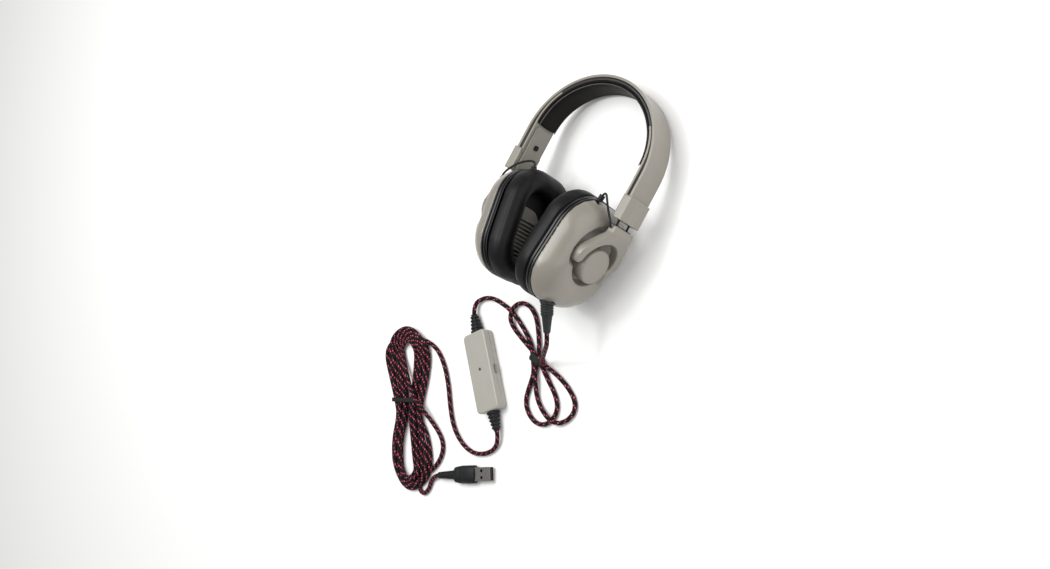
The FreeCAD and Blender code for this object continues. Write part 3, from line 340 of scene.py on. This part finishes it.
cordBRoute = [
    (-7.8, -170.1, 5.4), (-3.6, -176.5, 4.4), (-5, -187, 2.2), (-14, -196.5, 2.2), (-28, -202.5, 2.2),
    (-45, -200.5, 2.2), (-60, -192, 2.2), (-72, -178, 2.2), (-82.5, -162.5, 2.2), (-95, -149, 2.2),
    (-110.5, -139.5, 2), (-127.5, -138, 2), (-142.5, -143, 2), (-158.5, -149, 2), (-172, -159.5, 2.2),
    (-173, -173, 2.4), (-153, -191, 2.6), (-137.5, -205.5, 2.8), (-129, -215.5, 2.6),
    (-124.5, -239.5, 2.4), (-111.5, -261.5, 2.2), (-84, -272.5, 2.2), (-66, -250.5, 2.2),
    (-71, -231, 2.2), (-87, -213, 2.4), (-102, -206, 2.6), (-107.5, -188.5, 2.8), (-110, -171.5, 2.6),
    (-116.5, -150.5, 2.4), (-127, -139, 5.6), (-153.5, -134, 5.6), (-172, -152, 3.4),
    (-167.5, -170, 2.4), (-146.5, -191, 4.8), (-131, -200, 6.2), (-123, -214, 6), (-118.5, -235.5, 5.8),
    (-106.5, -261.5, 5.8), (-82.5, -266, 5.6), (-67.5, -250, 5.6), (-74, -231.5, 4),
    (-88.5, -216.5, 5.6), (-101, -203.5, 6), (-107.5, -189.5, 6.2), (-111, -171, 4.8),
    (-121, -154.5, 3), (-128.5, -139, 5.8), (-152, -137.5, 5.8), (-167.5, -152, 3.4),
    (-163, -171.5, 2.4), (-144, -187, 2.6), (-131, -201, 2.8), (-123, -213.5, 2.6), (-120, -239, 2.4),
    (-107.5, -259.5, 2.2), (-87, -266.5, 2.2), (-74.5, -250.5, 2.2), (-81, -237.5, 2.2),
    (-96, -218, 2.4), (-107, -207.5, 2.6), (-113.5, -191.5, 2.8), (-117.5, -176.5, 2.6),
    (-125.5, -154, 2.4), (-131, -142.5, 5.6), (-150.5, -139, 5.6), (-164, -155.5, 3.4),
    (-157.5, -167, 2.4), (-137.5, -185, 4.8), (-124, -196.5, 6.2), (-117.5, -214.5, 6),
    (-114.5, -233.5, 5.8), (-102, -257.5, 5.8), (-85, -261, 5.6), (-76, -251.5, 5.6), (-84.5, -237, 4),
    (-97.5, -220, 5.6), (-105.5, -206, 6), (-114, -194, 6.2), (-118.5, -175, 4.8), (-129, -156, 3),
    (-132.5, -144, 5.8), (-149, -144.5, 5.8), (-159.5, -154, 3.4), (-153, -166.5, 2.4),
    (-135, -182.5, 2.6), (-125, -199.5, 2.8), (-118, -213, 2.6), (-115.5, -235, 2.4), (-103, -257, 2.2),
    (-90.5, -263.5, 2.2), (-83, -251, 2.2), (-91, -241.5, 2.2), (-104.5, -222.5, 2.4),
    (-112, -212.5, 2.6), (-120, -195, 2.8), (-124.5, -178.5, 2.6), (-133.5, -156.5, 2.4),
    (-135.5, -149.5, 5.6), (-147.5, -145, 5.6), (-155.5, -156, 3.4),
    (-149, -165, 2.6), (-132.5, -176.5, 6),
    (-119.5, -185, 8.6), (-107, -191, 8.8), (-96, -195.5, 7), (-84, -201, 3), (-70, -207, 2),
    (-62, -214.5, 2), (-60.5, -225.5, 2), (-64, -236.5, 2), (-70.5, -246.5, 2), (-74.5, -256, 2),
    (-72, -263, 2), (-65, -264, 2), (-61, -257, 2), (-62, -248.5, 2), (-58.5, -241.5, 3.4), (-53, -238, 4.2),
]


def drawCord(name, route, place, diameter, finish):
    bpy.ops.curve.primitive_nurbs_path_add()
    cord = bpy.context.object
    cord.name = name
    cord.data.splines.clear()
    line = cord.data.splines.new("NURBS")
    line.points.add(len(route) - 1)
    for point, corner in zip(line.points, route):
        point.co = (*((place @ Vector(corner)) * 0.001), 1)
    line.order_u = 3                                 # quadratic: the cord keeps close to its points
    line.use_endpoint_u = True
    cord.data.dimensions = "3D"
    cord.data.resolution_u = 8
    cord.data.bevel_depth = diameter / 2000
    cord.data.bevel_resolution = 4
    cord.data.use_fill_caps = True
    cord.data.materials.append(finish)
    return cord


deselectAll()
braidA = braid("braided sleeve short", cords["lengthA"] * 1000, cords["diameter"])
braidB = braid("braided sleeve long", cords["lengthB"] * 1000, cords["diameter"])
cordA = drawCord("cordA", cordARoute, tablePlace, cords["diameter"], braidA)
cordB = drawCord("cordB", cordBRoute, tablePlace, cords["diameter"], braidB)
for cord, hidden in ((cordA, ("cord_a_drop", "cord_a_coil", "cord_a_lead")),
                     (cordB, ("cord_b_lead", "cord_b_hank", "cord_b_tail"))):
    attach(cord, "left_cup")
    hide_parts(*hidden)
print("cords drawn")


def startOutline(name, halfWide, halfHigh, corner, height, segments, closed=True):
    # a plane with its corners turned by a vertex bevel, ready to be pulled along Z
    deselectAll()
    bpy.ops.mesh.primitive_plane_add(size=2, location=(0, 0, 0))
    piece = bpy.context.object
    piece.name = name
    bpy.ops.object.mode_set(mode="EDIT")
    bpy.ops.mesh.select_all(action="SELECT")
    bpy.ops.transform.resize(value=(halfWide, halfHigh, 1))
    bpy.ops.transform.translate(value=(0, 0, height))
    bpy.ops.mesh.bevel(offset=corner, segments=segments, affect="VERTICES")
    if not closed:
        bpy.ops.mesh.select_all(action="SELECT")
        bpy.ops.mesh.delete(type="ONLY_FACE")
        bpy.ops.mesh.select_all(action="SELECT")
    return piece


def startDisc(name, radius, height, sides):
    deselectAll()
    bpy.ops.mesh.primitive_circle_add(vertices=sides, radius=radius, location=(0, 0, 0), fill_type="NGON")
    piece = bpy.context.object
    piece.name = name
    bpy.ops.object.mode_set(mode="EDIT")
    bpy.ops.mesh.select_all(action="SELECT")
    bpy.ops.transform.translate(value=(0, 0, height))
    return piece


def pullRings(rings):
    # each ring is (height, half width, half height); the selected outline follows them
    for before, after in zip(rings, rings[1:]):
        bpy.ops.mesh.extrude_region_move(TRANSFORM_OT_translate={"value": (0, 0, after[0] - before[0])})
        bpy.ops.transform.resize(value=(after[1] / before[1], after[2] / before[2], 1),
                                 center_override=(0, 0, after[0]))


def ribbed(start, end, ribs, depth, startRadius, endRadius):
    # rings of a tapered sleeve with grooves between its ribs; a rib's land takes 0.62 of its pitch
    land, slope, grooveEnd = 0.62, 0.08, 0.94
    rings = []
    step = (end - start) / ribs
    for number in range(ribs):
        a = start + number * step
        for along, cut in ((0.0, 0), (land - slope, 0), (land, depth), (grooveEnd, depth)):
            share = (a + along * step - start) / (end - start)
            radius = startRadius + (endRadius - startRadius) * share - cut
            rings.append((a + along * step, radius, radius))
    rings.append((end, endRadius, endRadius))
    return rings


def mouldedCopy(node, name, body, finish, voxel, passes):
    # the part's own solid, merged and remeshed so that its moulded edges turn softly
    source = nodes[node]
    piece = bpy.data.objects.new(name, source.data.copy())
    bpy.context.scene.collection.objects.link(piece)
    piece.data.transform(source.matrix_world)
    editAll(piece)
    bpy.ops.mesh.remove_doubles(threshold=0.000002)
    bpy.ops.object.mode_set(mode="OBJECT")
    applyModifier(piece, "REMESH", mode="VOXEL", voxel_size=voxel / 1000)
    applyModifier(piece, "SMOOTH", factor=0.5, iterations=passes)
    take(piece)
    bpy.ops.object.shade_smooth()
    wear(piece, finish, body)
    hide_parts(node)
    return piece


# ear cushions: rings of (depth, half width, half height), from the ring round the outside to the opening
cushion = {"fill": 0.8, "swell": 0.022, "swellDepth": 0.0012}

for side in ("left", "right"):
    rings = [
        (-22.4, 36.4, 45.4), (-24.5, 37.3, 46.3), (-28.5, 37.7, 46.7), (-32.6, 37.5, 46.5),
        (-33.0, 36.9, 45.9), (-33.5, 37.2, 46.2), (-37.2, 35.4, 44.4), (-39.4, 31.6, 40.6),
        (-40.0, 28.6, 37.8), (-39.2, 25.4, 34.8), (-36.4, 22.0, 31.2), (-32.0, 20.2, 29.3),
        (-26.0, 19.6, 28.6), (-22.4, 20.0, 29.0), (-22.4, 36.4, 45.4),
    ]
    piece = startOutline(side + "Cushion", 36.4, 45.4, 28.6, -22.4, 12, closed=False)
    pullRings(rings)
    bpy.ops.object.mode_set(mode="OBJECT")
    settle(piece, places[side]["cup"] @ standing)
    applyModifier(piece, "SUBSURF", levels=2, render_levels=2)
    swell = bpy.data.textures.get("foamSwell") or bpy.data.textures.new("foamSwell", "CLOUDS")
    swell.noise_scale = cushion["swell"]
    applyModifier(piece, "DISPLACE", texture=swell, strength=cushion["swellDepth"], mid_level=0.5,
                  texture_coords="LOCAL")
    smoothShade(piece, 60)
    wear(piece, "cushionHide", side + "_cup")
    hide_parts(side + "_cushion")
print("cushions done")

# black rings with two ridges between cushion and shell
for side in ("left", "right"):
    rings = [
        (-16.0, 37.0, 44.5), (-16.2, 38.0, 45.5), (-17.6, 38.1, 45.6), (-18.0, 37.0, 44.5),
        (-18.5, 37.0, 44.5), (-18.9, 38.2, 45.7), (-20.4, 38.2, 45.7), (-20.8, 37.2, 44.7),
        (-21.3, 37.2, 44.7), (-21.7, 37.9, 45.4), (-22.0, 37.5, 45.0), (-22.0, 30.2, 37.7),
        (-18.1, 29.7, 37.2), (-18.1, 19.0, 19.0), (-16.3, 19.0, 19.0), (-16.0, 37.0, 44.5),
    ]
    piece = startOutline(side + "Ring", 37.0, 44.5, 29.5, -16.0, 12, closed=False)
    pullRings(rings)
    bpy.ops.object.mode_set(mode="OBJECT")
    settle(piece, places[side]["cup"] @ standing)
    smoothShade(piece, 30)
    wear(piece, "blackAbs", side + "_cup")
    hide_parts(side + "_baffle_ring")
print("rings done")

# grey mouldings: remesh step in millimetres, smoothing passes
moulded = {"shell": (0.75, 5), "fork": (0.55, 9), "sleeve": (0.5, 4), "leg_cover": (0.4, 3)}
bodyOf = {"shell": "cup", "fork": "yoke"}
for side in ("left", "right"):
    for part, (voxel, passes) in moulded.items():
        body = side + "_" + bodyOf[part] if part in bodyOf else "headband"
        name = side + part.title().replace("_", "")
        mouldedCopy(side + "_" + part, name, body, "greyAbs", voxel, passes)

# the outer face round the disc, in millimetres of the cup: filled below it, opened behind it
dish = {
    "deepest": -8, "inner": 17.0, "outer": 26, "soft": 2.5, "face": 2.4, "below": 2, "belowFade": 7,
    "open": -5.0, "openDepth": 0.9, "openStart": 9, "openFoot": 13, "openFade": 9,
}


def ease(value):
    value = min(max(value, 0), 1)
    return value * value * (3 - 2 * value)


for side in ("left", "right"):
    shell = bpy.data.objects[side + "Shell"]
    toCup = places[side]["cup"].inverted() @ Matrix.Scale(1000, 4)
    fromCup = toCup.inverted()
    turned = toCup.to_3x3().normalized()
    facing = [(turned @ vertex.normal).x for vertex in shell.data.vertices]
    for vertex, outward in zip(shell.data.vertices, facing):
        spot = toCup @ vertex.co
        if spot.x < dish["deepest"] or outward < 0.05:
            continue
        reach = math.hypot(spot.y, spot.z)
        if spot.z < 0 and reach < dish["outer"] and spot.x < dish["face"]:
            share = (ease((-spot.z - dish["below"]) / dish["belowFade"])
                     * ease((reach - dish["inner"]) / dish["soft"]))
            spot.x += (dish["face"] - spot.x) * share
        share = (ease((spot.y - dish["openStart"]) / dish["openFade"])
                 * ease((spot.z + dish["openFoot"]) / dish["openFade"]))
        if spot.x > dish["open"]:
            spot.x += (dish["open"] - spot.x) * share * dish["openDepth"]
        vertex.co = fromCup @ spot
    shell.data.update()

    # low turned disc that covers the pivot boss
    piece = startDisc(side + "Disc", 13.2, -5.0, 64)
    pullRings([(-5.0, 13.2, 13.2), (-4.6, 14.6, 14.6), (6.6, 14.6, 14.6), (7.5, 14.3, 14.3),
               (8.0, 13.6, 13.6), (8.25, 12.4, 12.4), (8.4, 6.0, 6.0), (8.45, 1.2, 1.2)])
    bpy.ops.object.mode_set(mode="OBJECT")
    settle(piece, places[side]["cup"] @ standing)
    smoothShade(piece, 40)
    wear(piece, "greyAbs", side + "_cup")
    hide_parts(side + "_boss_cap")

    # painted shade: a black sheet round the grille's slots, behind the cushion, that darkens the recess inside
    # the cushion opening
    piece = startOutline(side + "PaintedShadeSheet", 27.0, 35.0, 20.0, -22.25, 10, closed=False)
    pullRings([(-22.25, 27.0, 35.0), (-22.25, 18.0, 22.0), (-21.75, 18.0, 22.0), (-21.75, 27.0, 35.0),
               (-22.25, 27.0, 35.0)])
    bpy.ops.object.mode_set(mode="OBJECT")
    for vertex in piece.data.vertices:
        if abs(vertex.co.x) < 18.5 and abs(vertex.co.y) < 22.5:    # the opening sits lower than the frame
            vertex.co.y -= 5.5
    settle(piece, places[side]["cup"] @ standing)
    # the twist ties' black finish, worn here as painted shade
    wear(piece, "tieYarnAndPaintedShade", side + "_cup")
print("grey mouldings done")

# padded headband liner
liner = {
    "radius": 52.5, "offset": 7.75, "legHeight": 87.34, "crownHeight": 81.5, "legAngle": 37, "crownAngle": 106,
    "fill": 0.5, "weltOut": -4.35, "weltAcross": 10.7, "weltRadius": 0.42,
}


def bandSweep(name, section):
    # section: points (offset outwards, across) at the foot of the corded leg, spun along leg, crown and leg
    deselectAll()
    bpy.ops.mesh.primitive_circle_add(vertices=len(section), radius=1, location=(0, 0, 0),
                                      fill_type="NOTHING")
    piece = bpy.context.object
    piece.name = name
    for vertex, (out, across) in zip(piece.data.vertices, section):
        vertex.co = (liner["offset"] + liner["radius"] + out, across, liner["legHeight"])
    bpy.ops.object.mode_set(mode="EDIT")
    bpy.ops.mesh.select_all(action="SELECT")
    for steps, angle, centre in (
            (12, liner["legAngle"], (liner["offset"], 0, liner["legHeight"])),
            (36, liner["crownAngle"], (0, 0, liner["crownHeight"])),
            (12, liner["legAngle"], (-liner["offset"], 0, liner["legHeight"]))):
        bpy.ops.mesh.spin(steps=steps, angle=math.radians(angle), center=centre, axis=(0, 1, 0))
    bpy.ops.mesh.select_all(action="DESELECT")
    bpy.ops.mesh.select_mode(type="EDGE")
    bpy.ops.mesh.select_non_manifold()
    bpy.ops.mesh.edge_face_add()
    bpy.ops.object.mode_set(mode="OBJECT")
    return piece


padSection = [
    (-1.7, -12.0), (-1.7, -6), (-1.7, 0), (-1.7, 6), (-1.7, 12.0), (-2.3, 12.5), (-3.2, 12.2), (-4.3, 10.2),
    (-4.9, 6), (-5.0, 0), (-4.9, -6), (-4.3, -10.2), (-3.2, -12.2), (-2.3, -12.5),
]
piece = bandSweep("headbandPad", padSection)
settle(piece, headPlace)
applyModifier(piece, "SUBSURF", levels=2, render_levels=2)
smoothShade(piece, 50)
wear(piece, "linerHide", "headband")
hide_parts("headband_pad")

# thin welt along both edges of the liner
for edge, across in (("Front", -liner["weltAcross"]), ("Back", liner["weltAcross"])):
    ring = [(liner["weltOut"] + liner["weltRadius"] * math.cos(math.radians(angle)),
             across + liner["weltRadius"] * math.sin(math.radians(angle))) for angle in range(0, 360, 45)]
    piece = bandSweep("linerWelt" + edge, ring)
    settle(piece, headPlace)
    smoothShade(piece, 50)
    wear(piece, "seamHide", "headband")
print("liner done")

# cable loops from cup to leg
loopRoutes = {
    "left": [(36.3, -7.6, 55.7), (37, -7.8, 57.6), (40.5, -9.5, 57.6), (45.5, -12.5, 54), (51.5, -15.2, 49),
             (57, -16.6, 44), (61, -16.4, 40), (62.4, -15, 37), (62.3, -13.6, 35.2)],
    "right": [(41.8, 7.6, 56.9), (42.5, 7.9, 60.1), (46, 9.6, 60.3), (50.5, 12.2, 57), (55, 14.6, 52),
              (59, 15.2, 46.5), (61.8, 15.4, 41.5), (62.2, 15, 37), (62.3, 13.6, 35.2)],
}
for side, route in loopRoutes.items():
    place = places[side]["slide"]
    piece = drawCord(side + "CableLoop", route, place, 1.8, finishes["rubber"])
    take(piece)
    bpy.ops.object.convert(target="MESH")
    piece = bpy.context.object
    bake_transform(piece)
    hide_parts(side + "_cable_loop")
print("loops done")

# controller halves and the ribbed reliefs of its two cords
for part, name in (("controller_front", "controllerFront"), ("controller_back", "controllerBack")):
    mouldedCopy(part, name, "left_cup", "paleAbs", 0.5, 3)
for part, name, sign in (("controller_relief_in", "reliefIn", -1), ("controller_relief_out", "reliefOut", 1)):
    rings = ribbed(33.5, 53.0, 6, 0.8, 5.2, 2.9)
    piece = startOutline(name, 5.2, 5.2, 2.4, 33.5, 4)
    pullRings(rings)
    bpy.ops.object.mode_set(mode="OBJECT")
    across = Matrix.Translation((0, 0, 5.4)) @ Matrix.Rotation(math.pi if sign < 0 else 0, 4, "Z") @ standing
    settle(piece, controllerPlace @ across)
    applyModifier(piece, "BEVEL", width=0.00018, segments=2, limit_method="ANGLE")
    smoothShade(piece, 40)
    wear(piece, "rubber", "left_cup")
    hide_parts(part)
print("controller done")

# twist ties round the small coil and round the hank
ties = {
    "coil_tie": ("coilTie", (5.5, -96.5, 4.7), -100, 7.6, 3.8),
    "hank_tie": ("hankTie", (-123, -197.3, 5.2), -66, 18.6, 2.2),
}
for node, (name, centre, turnBy, halfReach, halfWide) in ties.items():
    rings = [
        (-halfWide, halfReach - 0.8, 4.1), (-halfWide * 0.55, halfReach, 4.5),
        (-halfWide * 0.1, halfReach - 0.5, 4.25), (halfWide * 0.3, halfReach + 0.1, 4.5),
        (halfWide, halfReach - 0.9, 4.0), (halfWide * 0.7, halfReach - 1.6, 3.6),
        (-halfWide * 0.7, halfReach - 1.6, 3.6), (-halfWide, halfReach - 0.8, 4.1),
    ]
    piece = startOutline(name, halfReach - 0.8, 4.1, 3.6, -halfWide, 6, closed=False)
    pullRings(rings)
    bpy.ops.object.mode_set(mode="OBJECT")
    along = Matrix.Rotation(math.radians(turnBy), 4, "Z")
    settle(piece, tablePlace @ Matrix.Translation(centre) @ along @ standing)
    applyModifier(piece, "SUBSURF", levels=2, render_levels=2)
    smoothShade(piece, 50)
    wear(piece, "tieYarnAndPaintedShade", "left_cup")
    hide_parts(node)
print("ties done")

# locking plug under the corded cup
heading = Vector((0.32, -0.934, -0.157)).normalized()
plugPlace = (tablePlace @ Matrix.Translation((33.1, -36.1, 53.0))
             @ heading.to_track_quat("Z", "X").to_matrix().to_4x4())
piece = startDisc("cordPlug", 5.3, 0.4, 36)
pullRings([(0.4, 5.3, 5.3), (0.8, 5.5, 5.5)] + ribbed(1.2, 11.6, 5, 0.55, 5.5, 5.2)[1:]
          + [(11.9, 4.6, 4.6), (12.3, 4.3, 4.3), (18.0, 3.7, 3.5), (24.6, 2.9, 2.9), (25.6, 2.4, 2.4),
             (25.7, 1.6, 1.6)])
bpy.ops.object.mode_set(mode="OBJECT")
settle(piece, plugPlace)
applyModifier(piece, "BEVEL", width=0.00015, segments=2, limit_method="ANGLE")
smoothShade(piece, 40)
wear(piece, "greenRubber", "left_cup")
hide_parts("cord_plug")
print("plug done")

# overmould of the computer plug
piece = startOutline("usbBody", 2.9, 2.9, 2.4, 0.2, 5)
pullRings(ribbed(0.2, 20.0, 6, 0.7, 2.9, 4.0)
          + [(20.4, 5.2, 3.4), (21.6, 6.8, 3.9), (27.0, 7.6, 4.05), (27.4, 6.6, 3.5), (28.6, 6.6, 3.5),
             (29.0, 7.9, 4.1), (44.6, 7.9, 4.1), (46.0, 7.2, 3.5)])
bpy.ops.object.mode_set(mode="OBJECT")
settle(piece, usbPlace @ Matrix.Translation((0, 0, 4.2)) @ standing)
applyModifier(piece, "BEVEL", width=0.0003, segments=2, limit_method="ANGLE")
smoothShade(piece, 40)
wear(piece, "rubber", "left_cup")
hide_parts("usb_overmould")
print("computer plug done")

# solids that stay as they are
finishByNode = {
    "band_outer_strip": "greyAbs", "band_spring": "darkSteel", "pad_base": "blackAbs", "band_lead": "rubber",
    "leg_leaf": "greyAbs", "cover_screw": "darkSteel", "slide_rods": "darkSteel", "grille": "grilleAbs",
    "driver_frame": "blackAbs", "driver_magnet": "magnetSteel", "diaphragm": "film",
    "shell_screws": "screwSteel",
    "grommet": "rubber", "cord_socket": "blackAbs", "controller_board": "board", "power_lens": "lens",
    "volume_rocker": "grilleAbs", "mute_button": "grilleAbs", "usb_shell": "plugSteel",
    "usb_tongue": "blackAbs",
}
for name, node in nodes.items():
    short = name.split("_", 1)[1] if name.startswith(("left_", "right_")) else name
    for slot in node.material_slots:
        slot.material = finishes[finishByNode.get(short, "greyAbs")]

# floor and light
deselectAll()
bpy.ops.mesh.primitive_plane_add(size=14, location=(0, -0.1, -0.0002))
floor = bpy.context.object
floor.name = "floor"
floorFinish, _, floorSurface = newFinish("matt white paper", Roughness=0.9, Specular_IOR_Level=0.1)
floorSurface.inputs["Base Color"].default_value = hexColour("#FDFDFC")
floor.data.materials.append(floorFinish)

lights = {"key": 15.0, "fill": 3.0, "strip": 1.4, "sky": 0.42}    # watts, and the strength of the white sky
camX = (looking.to_3x3() @ Vector((1, 0, 0))).normalized()
camY = (looking.to_3x3() @ Vector((0, 1, 0))).normalized()
middle = Vector((0, -0.1, 0.05))


def softLight(name, place, power, size):
    bpy.ops.object.light_add(type="AREA", location=place)
    lamp = bpy.context.object
    lamp.name = name
    lamp.data.energy = power
    lamp.data.size = size
    lamp.rotation_euler = (middle - place).to_track_quat("-Z", "Y").to_euler()


softLight("keyLight", middle + Vector((0, 0, 0.95)) + camY * 0.45 - camX * 0.3, lights["key"], 1.1)
softLight("stripLight", middle + Vector((0, 0, 0.75)) - camX * 0.35 + camY * 0.25, lights["strip"], 0.12)
softLight("fillLight", middle + Vector((0, 0, 0.6)) + camX * 0.8, lights["fill"], 0.9)
world = bpy.data.worlds.new("studio")
world.use_nodes = True
world.node_tree.nodes["Background"].inputs["Color"].default_value = (1, 1, 1, 1)
world.node_tree.nodes["Background"].inputs["Strength"].default_value = lights["sky"]
bpy.context.scene.world = world
bpy.context.scene.view_settings.view_transform = "Standard"
print("stage done")
